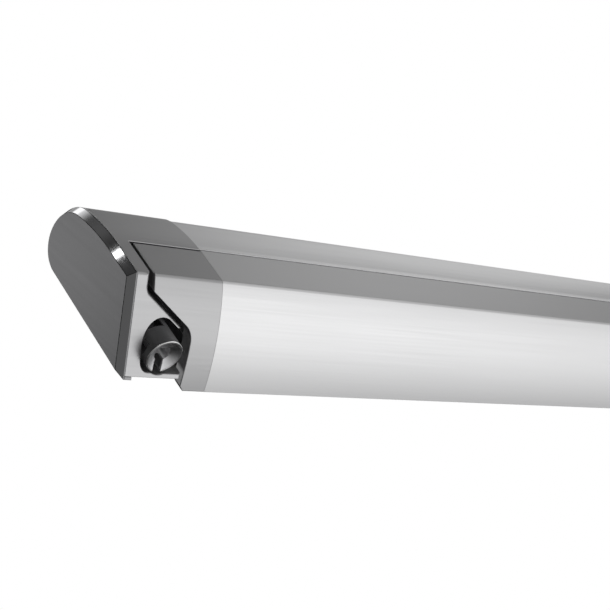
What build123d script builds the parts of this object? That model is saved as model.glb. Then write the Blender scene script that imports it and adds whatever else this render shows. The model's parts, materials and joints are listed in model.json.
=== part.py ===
from build123d import *
from math import asin, cos, radians, sin, sqrt
import os

# Roll out awning, closed, as it hangs on a vehicle wall.
# The row frame has X along the awning, Y towards the wall and Z up, with the
# origin in the middle of the centre bracket's back face.
# The cassette falls towards its front by the mounting pitch, so its pieces are
# drawn in their own coordinates: x along the length, a back along the fall and
# b square to it, counted from the front edge of the underside.

# Driving dimensions in millimetres, angles in degrees
awning_length = 2600
mounting_pitch = 12.5
section_height = 86
nose_radius = 39
nose_a = 152
front_foot_a = -10
front_top_a = 48.5
top_flat_end_a = 92
seam_a = 102
cassette_wall = 2
cap_proud = 1.5
cap_wall = 3
cap_length = 114
plate_thickness = 9
bevel_depth = 7.8
floor_front_a = 14

# Lead rail, whose front is one arc from the brow past the belly to the hem
belly_a = 12.8
belly_b = 37.7
hem_a = -12
hem_b = -17
rail_wall = 2
rail_seam_gap = 1.2

# Folding arms: each arm turns on a shoulder pin, an elbow pin and a rail pin
shoulder_from_end = 200
elbow_clearance = 40
shoulder_a = 86
rail_pivot_a = 36
arm_mid_b = 31
pin_radius = 5
running_clearance = 0.05
open_pivot_clearance = 0.5

# Roller and its cloth
roller_radius = 24
roller_wall = 1.5
roll_radius = 32.5
cloth_thickness = 0.65
cloth_from_end = 150

# Crank bell and its shaft, which runs back under the roller's axis
crank_from_end = 48.5
crank_b = 23.5
bell_radius = 20.5
bell_mouth_a = -7
crank_shaft_radius = 4

# Clearances and overrun shared by all pieces
seat_gap = 0.3
overrun = 20

half_length = awning_length / 2
shoulder_x = half_length - shoulder_from_end
arm_length = shoulder_x - elbow_clearance
cloth_half_width = half_length - cloth_from_end
rail_back_a = seam_a - rail_seam_gap
plate_inner_x = -half_length + plate_thickness
cap_inner_x = plate_inner_x + cap_length
extrusion_length = -2 * cap_inner_x
elbow_a = (shoulder_a + rail_pivot_a) / 2
elbow_offset = shoulder_a - elbow_a
elbow_x = shoulder_x - sqrt(arm_length**2 - elbow_offset**2)
crank_x = -half_length + crank_from_end

# The cassette's back stands off the wall by the bracket's plate and saddle
bracket_plate = 5
bracket_saddle = 3
nose_stand_off = bracket_plate + bracket_saddle
slab_back = Vector(0, cos(radians(mounting_pitch)), sin(radians(mounting_pitch)))
slab_up = Vector(0, -sin(radians(mounting_pitch)), cos(radians(mounting_pitch)))
nose_centre = Vector(0, -nose_stand_off - nose_radius, 0)
datum = nose_centre - slab_back * nose_a - slab_up * nose_radius


def across(x):
    """Plane of a cross-section at x, with sketch axes a and b."""
    return Plane(origin=datum + Vector(x, 0, 0), x_dir=slab_back, z_dir=(1, 0, 0))


def plan(b):
    """Plane along the fall at height b, with sketch axes x and a."""
    return Plane(origin=datum + slab_up * b, x_dir=(1, 0, 0), z_dir=slab_up)


def facing(a):
    """Plane square to the fall at depth a, with sketch axes x and b, looking out."""
    return Plane(origin=datum + slab_back * a, x_dir=(1, 0, 0), z_dir=slab_back * -1)


def place(x, a, b):
    """Point in the row frame."""
    return datum + Vector(x, 0, 0) + slab_back * a + slab_up * b


def upright(point, depth=0):
    """Plane square to Y through a point, or this far in front of it, with sketch axes x and Z."""
    return Plane(origin=point - Vector(0, depth, 0), x_dir=(1, 0, 0), z_dir=(0, -1, 0))


def sideways(x):
    """Plane square to X, with sketch axes Y and Z."""
    return Plane(origin=(x, 0, 0), x_dir=(0, 1, 0), z_dir=(1, 0, 0))


def between(low_x, high_x, low_y, high_y, mode=Mode.ADD):
    """Rectangle given by its edges."""
    with Locations(((low_x + high_x) / 2, (low_y + high_y) / 2)):
        Rectangle(high_x - low_x, high_y - low_y, mode=mode)


front_lean = (front_top_a - front_foot_a) / section_height


def closed_outline(top_inset=0, front_inset=0, foot_drop=0):
    """Section of the closed awning: flat underside, round nose, curved top, leaning front."""
    top = section_height - top_inset
    back = nose_radius - top_inset / 2
    middle = nose_a, back
    run = nose_a - top_flat_end_a
    rise = top - back
    top_radius = (run**2 + rise**2 - back**2) / (2 * (rise - back))
    slope_share = run / (top_radius - back)
    rise_share = sqrt(1 - slope_share**2)
    half_turn = asin(slope_share) / 2
    shoulder = middle[0] + back * slope_share, middle[1] + back * rise_share
    top_middle = top_flat_end_a + top_radius * sin(half_turn), top - top_radius * (1 - cos(half_turn))
    foot = front_foot_a + front_inset - front_lean * foot_drop, -foot_drop
    brow = front_foot_a + front_inset + front_lean * top, top
    Line(foot, (nose_a, 0))
    ThreePointArc((nose_a, 0), (nose_a + back, back), shoulder)
    ThreePointArc(shoulder, top_middle, (top_flat_end_a, top))
    Polyline((top_flat_end_a, top), brow, foot)


def closed_face(inset):
    """The closed section, drawn in all round by an inset."""
    with BuildSketch() as face:
        with BuildLine():
            closed_outline()
        make_face()
        if inset:
            offset(amount=-inset)
    return face.sketch


def rail_arc():
    """Centre and radius of the lead rail's front arc."""
    span_a = front_top_a - hem_a
    span_b = section_height - hem_b
    chord = sqrt(span_a**2 + span_b**2)
    belly_along = ((belly_a - hem_a) * span_a + (belly_b - hem_b) * span_b) / chord
    belly_out = ((belly_b - hem_b) * span_a - (belly_a - hem_a) * span_b) / chord
    reach = (chord * belly_along - belly_along**2 - belly_out**2) / (2 * belly_out)
    radius = sqrt(reach**2 + (chord / 2) ** 2)
    centre_a = (front_top_a + hem_a) / 2 + reach * span_b / chord
    centre_b = (section_height + hem_b) / 2 - reach * span_a / chord
    return centre_a, centre_b, radius


def front_point(depth, b):
    """Point at height b, this deep behind the lead rail's front."""
    centre_a, centre_b, radius = rail_arc()
    return centre_a - sqrt((radius - depth) ** 2 - (b - centre_b) ** 2), b


def front_strip(shallow, deep, low, high):
    """Strip that follows the lead rail's front between two depths and two heights."""
    middle = (low + high) / 2
    with BuildSketch() as strip:
        with BuildLine():
            ThreePointArc(front_point(shallow, low), front_point(shallow, middle), front_point(shallow, high))
            Line(front_point(shallow, high), front_point(deep, high))
            ThreePointArc(front_point(deep, high), front_point(deep, middle), front_point(deep, low))
            Line(front_point(deep, low), front_point(shallow, low))
        make_face()
    return strip.sketch


def save(piece, name):
    """Label a piece and write it under its own name."""
    piece.part.label = name
    export_step(piece.part, f"parts/{name}.step")


os.makedirs("parts", exist_ok=True)

# Cassette extrusion: top, round back and floor, with a lip at the seam and one at the floor's edge
lip_depth = 4
floor_lip = 6
with BuildPart() as cassette_extrusion:
    with BuildSketch(across(cap_inner_x)):
        add(closed_face(cap_proud))
        add(closed_face(cap_proud + cassette_wall), mode=Mode.SUBTRACT)
        between(front_foot_a - overrun, floor_front_a, -overrun, section_height + overrun, mode=Mode.SUBTRACT)
        between(front_foot_a, seam_a, cap_proud + cassette_wall, section_height + overrun, mode=Mode.SUBTRACT)
        between(
            seam_a,
            seam_a + cassette_wall,
            section_height - cap_proud - lip_depth,
            section_height - cap_proud * 3 / 2,
        )
        between(floor_front_a, floor_front_a + cassette_wall, cap_proud, cap_proud + floor_lip)
    extrude(amount=extrusion_length)
save(cassette_extrusion, "cassette_extrusion")

# Rubber seal behind the seam lip, under the cassette's top, against drips over the cloth
seal_depth = 3.5
seal_drop = 1.6
seal_top = section_height - cap_proud - cassette_wall - seat_gap * 2
with BuildPart() as front_seal:
    with BuildSketch(across(cap_inner_x)):
        between(seam_a + cassette_wall, seam_a + cassette_wall + seal_depth, seal_top - seal_drop, seal_top)
    extrude(amount=extrusion_length)
save(front_seal, "front_seal")

# Outline of the lead rail's cap seen from the front: it steps down past the crank bell
cap_side_from_end = 31
cap_side_b = 72.5
cap_turn_from_end = 87.5
cap_turn_b = 41
cap_turn_radius = 18
cap_gap = 5
cap_corner_cut = 5
cap_side_x = -half_length + cap_side_from_end
cap_turn_x = -half_length + cap_turn_from_end


def rail_cap_region(growth):
    """Area that the lead rail's cap covers seen from the front, grown all round."""
    with BuildSketch() as region:
        with BuildLine():
            Polyline(
                (cap_side_x, section_height + overrun),
                (cap_side_x, cap_side_b),
                (cap_turn_x, cap_turn_b),
                (cap_turn_x, hem_b + cap_corner_cut),
                (cap_turn_x + cap_corner_cut + overrun, hem_b - overrun),
                (cap_inner_x + overrun, hem_b - overrun),
                (cap_inner_x + overrun, section_height + overrun),
                close=True,
            )
        make_face()
        corner = region.vertices().sort_by_distance((cap_turn_x, cap_turn_b))[0]
        fillet(corner, cap_turn_radius)
        if growth:
            offset(amount=growth)
    return region.sketch


# Cassette end caps: hollow mouldings, the left one with the opening for the crank bell, which has
# a straight outer side, a round top and a thin rim left beside the lead rail's cap
bell_opening_radius = 24.5
bell_opening_b = 25.5
bell_opening_from_end = 50
opening_side_from_end = 26
opening_side_b = 31
opening_low_b = 2.4
opening_top_b = 44
opening_rim = 2.7
rim_end_b = 42
opening_corner_radius = 11
housing_front_a = 116
cap_lip = 1.5
flange_wall = 7
flange_depth = 12
roll_off_radius = 5
front_plane = Plane(
    origin=place(0, front_foot_a, 0),
    x_dir=(1, 0, 0),
    z_dir=slab_up * front_lean - slab_back,
)


def bell_opening():
    """Opening in the left cap's front: it leaves a rim above, towards the lead rail's cap, and runs out
    into the gap below the rim's end."""
    side_x = -half_length + opening_side_from_end
    middle_x = -half_length + bell_opening_from_end
    with BuildSketch() as opening:
        between(side_x, cap_turn_x, opening_low_b, opening_side_b)
        between(middle_x, cap_turn_x, opening_low_b, opening_top_b)
        corner = opening.vertices().sort_by_distance((side_x, opening_low_b))[0]
        fillet(corner, opening_corner_radius)
        with Locations((middle_x, bell_opening_b)):
            Circle(bell_opening_radius)
        add(rail_cap_region(cap_gap + opening_rim), mode=Mode.SUBTRACT)
        between(middle_x, cap_turn_x, opening_low_b, rim_end_b)
    return opening.sketch


def gap_edges(cap):
    """The front's edges on the gap that lie between the cap's side and its turn."""
    edges = []
    for edge in cap.edges():
        spots = [front_plane.to_local_coords(edge @ share) for share in (0, 1 / 2, 1)]
        in_front = all(abs(spot.Z) < seat_gap for spot in spots)
        beside = cap_side_x < spots[1].X < cap_turn_x
        slanted = abs(spots[0].X - spots[2].X) < cap_turn_x - cap_side_x
        if in_front and beside and slanted and abs(spots[1].Y) > cap_lip * 2:
            edges.append(edge)
    return edges


with BuildPart() as cap_flange:
    with BuildSketch(across(plate_inner_x)):
        with BuildLine():
            Polyline(
                (front_foot_a - front_lean * cap_lip, -cap_lip),
                (front_foot_a - front_lean * cap_lip + flange_depth, -cap_lip),
                (front_top_a - front_lean * cap_wall + flange_depth, section_height - cap_wall),
                (front_top_a - front_lean * cap_wall, section_height - cap_wall),
                close=True,
            )
        make_face()
    extrude(amount=cap_length)
    with BuildSketch(facing(seam_a)):
        add(rail_cap_region(cap_gap + flange_wall))
    extrude(amount=seam_a - hem_a + overrun, mode=Mode.INTERSECT)

for side in ("left", "right"):
    with BuildPart() as end_cap:
        with BuildSketch(across(plate_inner_x)):
            add(closed_face(0))
        extrude(amount=cap_length)
        with BuildSketch(across(plate_inner_x + cap_wall)):
            add(closed_face(cap_wall))
        extrude(amount=cap_length, mode=Mode.SUBTRACT)
        with BuildSketch(across(plate_inner_x)):
            with BuildLine():
                Polyline(
                    (front_foot_a + front_lean * cap_lip, cap_lip),
                    (front_foot_a - front_lean * cap_lip, -cap_lip),
                    (floor_front_a, -cap_lip),
                    (floor_front_a, cap_lip),
                    close=True,
                )
            make_face()
        extrude(amount=cap_length)
        add(cap_flange.part)
        with BuildSketch(facing(seam_a)):
            add(rail_cap_region(cap_gap))
            between(-half_length, 0, -section_height, cap_wall, mode=Mode.SUBTRACT)
        extrude(amount=seam_a - hem_a + overrun, mode=Mode.SUBTRACT)
        with BuildSketch(facing(floor_front_a)):
            add(rail_cap_region(cap_gap))
        extrude(amount=floor_front_a - hem_a + overrun, mode=Mode.SUBTRACT)
        fillet(gap_edges(end_cap), roll_off_radius)
        if side == "left":
            with BuildSketch(facing(housing_front_a / 2)):
                add(bell_opening())
            extrude(amount=housing_front_a, mode=Mode.SUBTRACT)
        else:
            mirror(about=Plane.YZ, mode=Mode.REPLACE)
    save(end_cap, f"end_cap_{side}")

# End plates: a flat face with a wide bevel along its top, nose and front, and a tab under the cap's lip
bevel_top = 7.5
bevel_front = 7
tab_drop = 4.4
tab_gap = 0.2
tab_reach = 18
with BuildPart() as end_plate_left:
    with BuildSketch(across(-half_length)):
        with BuildLine():
            closed_outline(bevel_top, bevel_front)
        make_face()
    with BuildSketch(across(-half_length + bevel_depth)):
        with BuildLine():
            closed_outline(foot_drop=tab_drop)
        make_face()
    loft(ruled=True)
    with BuildSketch(across(-half_length + bevel_depth)):
        with BuildLine():
            closed_outline(foot_drop=tab_drop)
        make_face()
    extrude(amount=plate_thickness - bevel_depth)
    with BuildSketch(across(plate_inner_x)):
        with BuildLine():
            Polyline(
                (front_foot_a - front_lean * (cap_lip + tab_gap), -cap_lip - tab_gap),
                (front_foot_a - front_lean * tab_drop, -tab_drop),
                (floor_front_a, -tab_drop),
                (floor_front_a, -cap_lip - tab_gap),
                close=True,
            )
        make_face()
    extrude(amount=tab_reach - plate_thickness)
save(end_plate_left, "end_plate_left")
with BuildPart() as end_plate_right:
    mirror(end_plate_left.part, about=Plane.YZ)
save(end_plate_right, "end_plate_right")

# Lead rail: arched front with its hem, and the rib that props the top behind the brow
groove_radius = 3
groove_wall = 2
groove_slot = 2.4
groove_a = rail_back_a - groove_radius - groove_wall * 2
groove_b = section_height - rail_wall - groove_radius - groove_wall / 2
leg_channel_top = -1.2
channel_roof = 1.5
channel_back_a = 38
channel_back_wall = 1.5
hem_lip = 5
brow_rib_a = 62
brow_rib_b = 60
with BuildPart() as lead_rail:
    with BuildSketch(across(cap_inner_x)):
        add(front_strip(0, rail_wall, hem_b, section_height))
        with BuildLine():
            Polyline(
                (brow_rib_a, section_height - rail_wall),
                front_point(rail_wall / 2, brow_rib_b),
                front_point(rail_wall / 2, brow_rib_b + rail_wall),
                (brow_rib_a - rail_wall * 3 / 2, section_height - rail_wall),
                close=True,
            )
        make_face()
        between(front_point(rail_wall / 2, hem_b)[0], hem_a + hem_lip, hem_b, hem_b + rail_wall)
    extrude(amount=extrusion_length)
save(lead_rail, "lead_rail")

# The rail's level top, with the groove for the cloth's bead along its back edge
with BuildPart() as lead_rail_top:
    with BuildSketch(across(cap_inner_x)):
        between(
            front_point(rail_wall, section_height)[0],
            rail_back_a,
            section_height - rail_wall,
            section_height,
        )
        with BuildLine():
            Polyline(
                front_point(rail_wall, section_height),
                front_point(rail_wall, section_height - rail_wall),
                (front_point(rail_wall, section_height)[0] + rail_wall, section_height - rail_wall),
                close=True,
            )
        make_face()
        between(
            groove_a - groove_radius - groove_wall,
            rail_back_a,
            groove_b - groove_radius - groove_wall,
            section_height - rail_wall,
        )
        with Locations((groove_a, groove_b)):
            Circle(groove_radius, mode=Mode.SUBTRACT)
        between(
            groove_a,
            rail_back_a,
            groove_b - groove_slot / 2,
            groove_b + groove_slot / 2,
            mode=Mode.SUBTRACT,
        )
    extrude(amount=extrusion_length)
save(lead_rail_top, "lead_rail_top")

# The leg channel's roof and its back wall, under the rail's top
with BuildPart() as leg_channel_roof:
    with BuildSketch(across(cap_inner_x)):
        between(0, channel_back_a, leg_channel_top - channel_roof, leg_channel_top)
        add(
            front_strip(
                rail_wall,
                rail_wall + channel_back_a / 2,
                leg_channel_top - channel_roof,
                leg_channel_top,
            )
        )
    extrude(amount=extrusion_length)
save(leg_channel_roof, "leg_channel_roof")
with BuildPart() as leg_channel_back:
    with BuildSketch(across(cap_inner_x)):
        between(channel_back_a - channel_back_wall, channel_back_a, hem_b, leg_channel_top - channel_roof)
    extrude(amount=extrusion_length)
save(leg_channel_back, "leg_channel_back")

# Lead rail caps: hollow mouldings with a closed side along the step past the crank bell
cap_side_depth = 15
cap_back_gap = 2.7
cap_back_a = seam_a - cap_back_gap
channel_plug_back = 12
channel_plug_depth = 30
with BuildPart() as rail_cap_hollow:
    with BuildSketch(across(cap_side_x + cap_wall)):
        add(front_strip(cap_wall, cap_side_depth + overrun, hem_b + cap_wall, section_height - cap_wall))
        between(front_top_a, rail_back_a + overrun, -overrun, section_height - cap_wall)
    extrude(amount=cap_length)
    with BuildSketch(facing(rail_back_a + overrun)):
        between(-half_length, 0, hem_b, section_height)
        add(rail_cap_region(-cap_wall), mode=Mode.SUBTRACT)
    extrude(amount=rail_back_a + overrun - hem_a + overrun, mode=Mode.SUBTRACT)
with BuildPart() as rail_cap_left:
    with BuildSketch(across(cap_side_x)):
        add(front_strip(0, cap_side_depth, hem_b, section_height))
        between(
            front_point(0, section_height)[0],
            cap_back_a,
            section_height - cap_side_depth,
            section_height,
        )
    extrude(amount=cap_inner_x - cap_side_x)
    with BuildSketch(across(cap_turn_x + channel_plug_back)):
        add(front_strip(0, channel_plug_depth, hem_b, leg_channel_top))
        between(belly_a, channel_back_a, hem_b, leg_channel_top)
    extrude(amount=cap_inner_x - cap_turn_x - channel_plug_back)
    with BuildSketch(facing(rail_back_a + overrun)):
        between(-half_length, cap_inner_x + overrun, hem_b - overrun, section_height + overrun)
        add(rail_cap_region(0), mode=Mode.SUBTRACT)
    extrude(amount=rail_back_a + overrun - hem_a + overrun, mode=Mode.SUBTRACT)
    add(rail_cap_hollow.part, mode=Mode.SUBTRACT)
save(rail_cap_left, "rail_cap_left")
with BuildPart() as rail_cap_right:
    mirror(rail_cap_left.part, about=Plane.YZ)
save(rail_cap_right, "rail_cap_right")

# Roller tube in the nose, with its cloth wound on
roller_margin = 20
roller_half_length = cloth_half_width + roller_margin
with BuildPart() as roller_tube:
    with BuildSketch(across(-roller_half_length)):
        with Locations((nose_a, nose_radius)):
            Circle(roller_radius)
            Circle(roller_radius - roller_wall, mode=Mode.SUBTRACT)
    extrude(amount=2 * roller_half_length)
save(roller_tube, "roller_tube")

roll_seat = 0.1
with BuildPart() as cloth_roll:
    with BuildSketch(across(-cloth_half_width)):
        with Locations((nose_a, nose_radius)):
            Circle(roll_radius)
            Circle(roller_radius + roll_seat, mode=Mode.SUBTRACT)
    extrude(amount=2 * cloth_half_width)
save(cloth_roll, "cloth_roll")

# Roller plugs with their shaft ends: the left one is long enough to carry the worm wheel
plug_depth = 60
plug_flange = 4
plug_fit = 0.1
roller_shaft_radius = 8
wheel_seat_radius = 5
wheel_width = 14
housing_length = 64
housing_x = plate_inner_x + cap_wall + seat_gap
housing_end_x = housing_x + housing_length
wheel_x = crank_x
shaft_start_x = wheel_x - wheel_width
with BuildPart() as roller_plug_left:
    with BuildSketch(across(-roller_half_length)):
        with Locations((nose_a, nose_radius)):
            Circle(roller_radius - roller_wall - plug_fit)
    extrude(amount=plug_depth)
    with BuildSketch(across(-roller_half_length - plug_flange)):
        with Locations((nose_a, nose_radius)):
            Circle(roller_radius)
    extrude(amount=plug_flange)
    with BuildSketch(across(wheel_x + wheel_width / 2)):
        with Locations((nose_a, nose_radius)):
            Circle(roller_shaft_radius)
    extrude(amount=-roller_half_length - wheel_x - wheel_width / 2)
    with BuildSketch(across(shaft_start_x)):
        with Locations((nose_a, nose_radius)):
            Circle(wheel_seat_radius)
    extrude(amount=wheel_width * 3 / 2)
save(roller_plug_left, "roller_plug_left")

right_bearing_length = 50
right_bearing_x = -plate_inner_x - cap_wall - seat_gap - right_bearing_length
with BuildPart() as roller_plug_right:
    with BuildSketch(across(roller_half_length - plug_depth)):
        with Locations((nose_a, nose_radius)):
            Circle(roller_radius - roller_wall - plug_fit)
    extrude(amount=plug_depth)
    with BuildSketch(across(roller_half_length)):
        with Locations((nose_a, nose_radius)):
            Circle(roller_radius)
    extrude(amount=plug_flange)
    with BuildSketch(across(roller_half_length)):
        with Locations((nose_a, nose_radius)):
            Circle(roller_shaft_radius)
    extrude(amount=right_bearing_x + right_bearing_length / 2 - roller_half_length)
save(roller_plug_right, "roller_plug_right")

# Worm gear: the crank's worm passes under the wheel on the roller's shaft
worm_drop = nose_radius - crank_b
worm_pitch_radius = 5.5
wheel_pitch_radius = worm_drop - worm_pitch_radius
tooth_height = 1.2
wheel_cavity_radius = wheel_pitch_radius + tooth_height * 2
with BuildPart() as worm_wheel:
    with BuildSketch(across(wheel_x - wheel_width / 2)):
        with Locations((nose_a, nose_radius)):
            Circle(wheel_pitch_radius - tooth_height / 2)
            Circle(wheel_seat_radius, mode=Mode.SUBTRACT)
    extrude(amount=wheel_width)
save(worm_wheel, "worm_wheel")

worm_length = 34
worm_core_radius = worm_pitch_radius - tooth_height
shaft_tail = 3
crank_shaft_end_a = nose_a + worm_length / 2 + shaft_tail
bell_depth = 60
with BuildPart() as crank_shaft:
    with BuildSketch(facing(crank_shaft_end_a)):
        with Locations((crank_x, crank_b)):
            Circle(crank_shaft_radius)
    extrude(amount=crank_shaft_end_a - bell_mouth_a - bell_depth * 3 / 4)
    with BuildSketch(facing(nose_a + worm_length / 2)):
        with Locations((crank_x, crank_b)):
            Circle(worm_core_radius)
    extrude(amount=worm_length)
save(crank_shaft, "crank_shaft")

# Crank bell: a long moulded skirt with two windows, on a hub that holds the crank's shaft
bell_wall = 1.6
bell_bore_radius = 9
cone_depth = 6
bore_depth = 34
bell_skirt = 40
bell_hub_radius = 11
bell_slot_width = 10.5
bell_slot_depth = 17
hook_bar_radius = 1.6
hook_bar_back = 17
side_window_back = 9
side_window_length = 11
side_window_depth = 2.6
top_window_back = 26
top_window_low = 12.8
top_window_outer = 15.7
top_window_inner = 1.8
bell_rim_depth = 2
skirt_bore = bell_radius - bell_wall
tube_radius = bell_bore_radius + bell_wall
bell_mouth = place(crank_x, bell_mouth_a, crank_b)
bell_plane = Plane(origin=bell_mouth, x_dir=(1, 0, 0), z_dir=slab_up)


def bell_slot():
    """The slot from the bore down through the mouth's rim."""
    with BuildSketch(facing(bell_mouth_a + bell_slot_depth)) as slot:
        between(
            crank_x - bell_slot_width / 2,
            crank_x + bell_slot_width / 2,
            crank_b - bell_radius * 2,
            crank_b,
        )
    return slot.sketch


with BuildPart() as crank_bell:
    with BuildSketch(bell_plane):
        with BuildLine():
            Polyline(
                (bell_radius, bell_rim_depth),
                (bell_radius, bell_skirt),
                (bell_hub_radius, bell_skirt + bell_hub_radius),
                (bell_hub_radius, bell_depth),
                (crank_shaft_radius, bell_depth),
                (crank_shaft_radius, bell_depth * 3 / 4),
                (0, bell_depth * 3 / 4),
            )
            Polyline(
                (0, bell_depth * 3 / 4),
                (0, bore_depth),
                (tube_radius, bore_depth),
                (tube_radius, bell_skirt + bell_hub_radius - bell_wall),
                (skirt_bore, bell_skirt - bell_wall / 2),
                (skirt_bore, bell_rim_depth),
                (bell_radius, bell_rim_depth),
            )
        make_face()
    revolve(axis=Axis(bell_mouth, slab_back))
    extrude(bell_slot(), amount=bell_slot_depth + overrun, mode=Mode.SUBTRACT)
    with BuildSketch(across(crank_x - bell_radius + side_window_depth)):
        between(
            bell_mouth_a + side_window_back,
            bell_mouth_a + side_window_back + side_window_length,
            crank_b - bell_radius,
            crank_b + bell_radius,
        )
    extrude(amount=-side_window_depth - overrun, mode=Mode.SUBTRACT)
    with BuildSketch(facing(bell_mouth_a + top_window_back)):
        between(
            crank_x - top_window_outer,
            crank_x + top_window_inner,
            crank_b + top_window_low,
            crank_b + bell_radius * 2,
        )
    extrude(amount=top_window_back - bell_skirt, mode=Mode.SUBTRACT)
save(crank_bell, "crank_bell")

# The bell's metal insert: its rim and cone, and the bore with the bar for the crank's hook
with BuildPart() as bell_insert:
    with BuildSketch(bell_plane):
        with BuildLine():
            Polyline(
                (bell_radius - bell_wall / 2, 0),
                (bell_radius, bell_wall / 2),
                (bell_radius, bell_rim_depth),
                (skirt_bore - plug_fit, bell_rim_depth),
                (skirt_bore - plug_fit, bell_rim_depth * 2),
                (tube_radius, cone_depth + bell_wall),
                (tube_radius, bore_depth),
                (bell_bore_radius, bore_depth),
                (bell_bore_radius, cone_depth),
                (skirt_bore, bell_wall / 2),
                close=True,
            )
        make_face()
    revolve(axis=Axis(bell_mouth, slab_back))
    extrude(bell_slot(), amount=bell_slot_depth + overrun, mode=Mode.SUBTRACT)
    with BuildSketch(across(crank_x - bell_bore_radius - bell_wall / 2)):
        with Locations((bell_mouth_a + hook_bar_back, crank_b)):
            Circle(hook_bar_radius)
    extrude(amount=2 * bell_bore_radius + bell_wall)
save(bell_insert, "bell_insert")

# Gear housing: fills the nose of the left cap, with a bore for each shaft and a chamber for the pair
chamber_clearance = 1
housing_back_gap = 0.2
with BuildPart() as gear_housing:
    with BuildSketch(across(housing_x)):
        add(closed_face(cap_wall + housing_back_gap))
        between(
            front_foot_a - overrun,
            housing_front_a,
            -overrun,
            section_height + overrun,
            mode=Mode.SUBTRACT,
        )
    extrude(amount=housing_length)
    with BuildSketch(across(shaft_start_x - chamber_clearance)):
        with Locations((nose_a, nose_radius)):
            Circle(wheel_cavity_radius)
    extrude(amount=wheel_width * 2 + chamber_clearance, mode=Mode.SUBTRACT)
    with BuildSketch(across(housing_x + housing_length / 2)):
        with Locations((nose_a, nose_radius)):
            Circle(roller_shaft_radius + running_clearance)
    extrude(amount=housing_length, mode=Mode.SUBTRACT)
    with BuildSketch(facing(crank_shaft_end_a + chamber_clearance)):
        with Locations((crank_x, crank_b)):
            Circle(worm_pitch_radius + tooth_height)
    extrude(amount=worm_length + shaft_tail + chamber_clearance * 2, mode=Mode.SUBTRACT)
    with BuildSketch(facing(nose_a)):
        with Locations((crank_x, crank_b)):
            Circle(crank_shaft_radius + running_clearance)
    extrude(amount=nose_a, mode=Mode.SUBTRACT)
save(gear_housing, "gear_housing")

# Right bearing block for the roller
with BuildPart() as roller_bearing:
    with BuildSketch(across(right_bearing_x)):
        add(closed_face(cap_wall + housing_back_gap))
        between(
            front_foot_a - overrun,
            housing_front_a,
            -overrun,
            section_height + overrun,
            mode=Mode.SUBTRACT,
        )
        with Locations((nose_a, nose_radius)):
            Circle(roller_shaft_radius + running_clearance, mode=Mode.SUBTRACT)
    extrude(amount=right_bearing_length)
save(roller_bearing, "roller_bearing")

# Shoulder brackets: a foot screwed to the floor, a back web and two ears round the shoulder pin
floor_b = cap_proud + cassette_wall
arm_height = 38
ear_gap = 0.3
ear_thickness = 6
knuckle_height = 40
knuckle_radius = 14
bracket_half_width = 34
bracket_web = 10
bracket_back_a = shoulder_a + knuckle_radius + bracket_web
knuckle_low = arm_mid_b - knuckle_height / 2
knuckle_high = arm_mid_b + knuckle_height / 2
ear_radius = 12
pin_head_radius = 8
pin_head = 3
bracket_screw_radius = 3
with BuildPart() as shoulder_bracket_left:
    with BuildSketch(plan(floor_b)):
        with BuildLine():
            Polyline(
                (-shoulder_x - bracket_half_width, shoulder_a - ear_radius),
                (-shoulder_x + bracket_half_width, shoulder_a - ear_radius),
                (-shoulder_x + bracket_half_width, bracket_back_a),
                (-shoulder_x - bracket_half_width, bracket_back_a),
                close=True,
            )
        make_face()
        with Locations((-shoulder_x, shoulder_a)):
            Circle(pin_radius, mode=Mode.SUBTRACT)
    extrude(amount=knuckle_low - ear_gap - floor_b)
    with BuildSketch(plan(floor_b)):
        between(
            -shoulder_x - bracket_half_width,
            -shoulder_x + ear_radius,
            shoulder_a + knuckle_radius + ear_gap * 2,
            bracket_back_a,
        )
    extrude(amount=knuckle_high + ear_gap + ear_thickness - floor_b)
    with BuildSketch(plan(knuckle_high + ear_gap)):
        with Locations((-shoulder_x, shoulder_a)):
            Circle(ear_radius)
        between(-shoulder_x - ear_radius, -shoulder_x + ear_radius, shoulder_a, bracket_back_a)
        with Locations((-shoulder_x, shoulder_a)):
            Circle(pin_radius, mode=Mode.SUBTRACT)
    extrude(amount=ear_thickness)
    web_edges = edges().filter_by(Axis((0, 0, 0), slab_up)).group_by(Axis.X)[0]
    fillet(web_edges, bracket_screw_radius)
save(shoulder_bracket_left, "shoulder_bracket_left")
with BuildPart() as shoulder_bracket_right:
    mirror(shoulder_bracket_left.part, about=Plane.YZ)
save(shoulder_bracket_right, "shoulder_bracket_right")

# Shoulder pins with their heads
with BuildPart() as shoulder_pins:
    with BuildSketch(plan(floor_b + seat_gap)):
        with Locations((-shoulder_x, shoulder_a)):
            Circle(pin_radius)
    extrude(amount=knuckle_high + ear_gap + ear_thickness - floor_b)
    with BuildSketch(plan(knuckle_high + ear_gap + ear_thickness)):
        with Locations((-shoulder_x, shoulder_a)):
            Circle(pin_head_radius)
    extrude(amount=pin_head)
    mirror(about=Plane.YZ)
save(shoulder_pins, "shoulder_pins")

# Upper arms: a box tube between a shoulder knuckle and an elbow fork
upper_width = 28
forearm_width = 24
forearm_height = 32
tube_wall = 2
tube_fit = 0.1
tongue_less = 2 * (tube_wall + tube_fit)
plug_length = 40
knuckle_reach = 22
elbow_reach = 34
elbow_radius = 13
elbow_low_b = arm_mid_b - forearm_height / 4
elbow_high_b = arm_mid_b + forearm_height / 4
upper_start_x = -shoulder_x + knuckle_reach
upper_end_x = -elbow_x - elbow_reach
upper_low_a = shoulder_a - upper_width / 2
upper_high_a = shoulder_a + upper_width / 2


def box_tube(start_x, length, centre_a, width, height, wall):
    """Rectangular tube with rounded corners along the awning, centred at arm height."""
    with BuildPart() as tube:
        with BuildSketch(across(start_x)):
            with Locations((centre_a, arm_mid_b)):
                RectangleRounded(width, height, wall * 2)
                RectangleRounded(width - 2 * wall, height - 2 * wall, wall, mode=Mode.SUBTRACT)
        extrude(amount=length)
    return tube


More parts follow.
